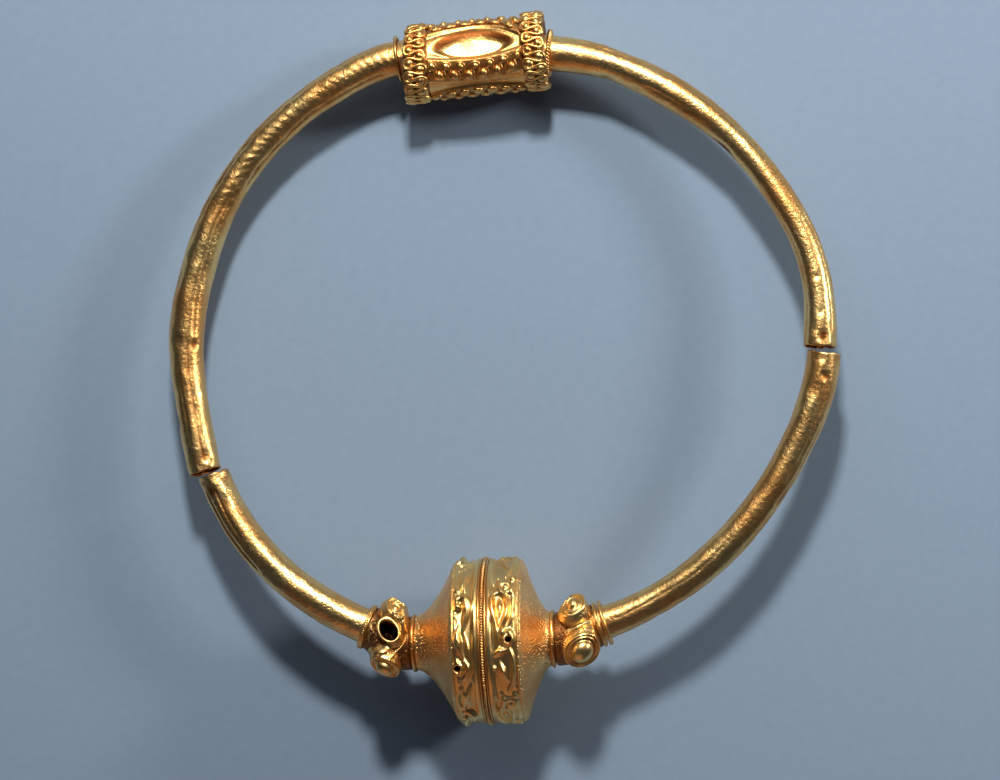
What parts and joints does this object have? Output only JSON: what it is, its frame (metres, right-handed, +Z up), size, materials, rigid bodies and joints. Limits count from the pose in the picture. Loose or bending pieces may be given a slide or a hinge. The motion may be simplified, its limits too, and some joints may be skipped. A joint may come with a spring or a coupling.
{
  "type": "gold torc",
  "caption": "Penannular neck ring of bent sheet-gold tube, with flared drum buffers meeting face to face, eye-boss collars and a beaded sleeve at the back.",
  "frame": {"origin": "middle of the underside of the torc's box, on the floor that it lies on", "axes": "+X from the left buffer to the right one, +Y from the buffers to the muff at the back, +Z up through the neck opening"},
  "size_m": [0.2012, 0.2122, 0.0496],
  "materials": {
    "tube_gold": "hammered and burnished gold, with reddish brown tarnish in its dents",
    "buffer_gold": "stippled matt gold with burnished relief",
    "muff_gold": "burnished gold with granules and curled wire",
    "wire_gold": "bright beaded gold wire"
  },
  "bodies": {
    "root": {"left_back_tube": "tube_gold", "right_back_tube": "tube_gold", "left_front_tube": "tube_gold", "right_front_tube": "tube_gold", "left_buffer": "buffer_gold", "right_buffer": "buffer_gold", "seam_wire": "wire_gold", "left_neck_wire": "wire_gold", "right_neck_wire": "wire_gold", "left_collar": "buffer_gold", "right_collar": "buffer_gold", "left_cuff_wire": "wire_gold", "right_cuff_wire_inner": "wire_gold", "right_cuff_wire_outer": "wire_gold", "muff": "muff_gold", "muff_left_wire": "wire_gold", "muff_right_wire": "wire_gold"}
  },
  "joints": []
}
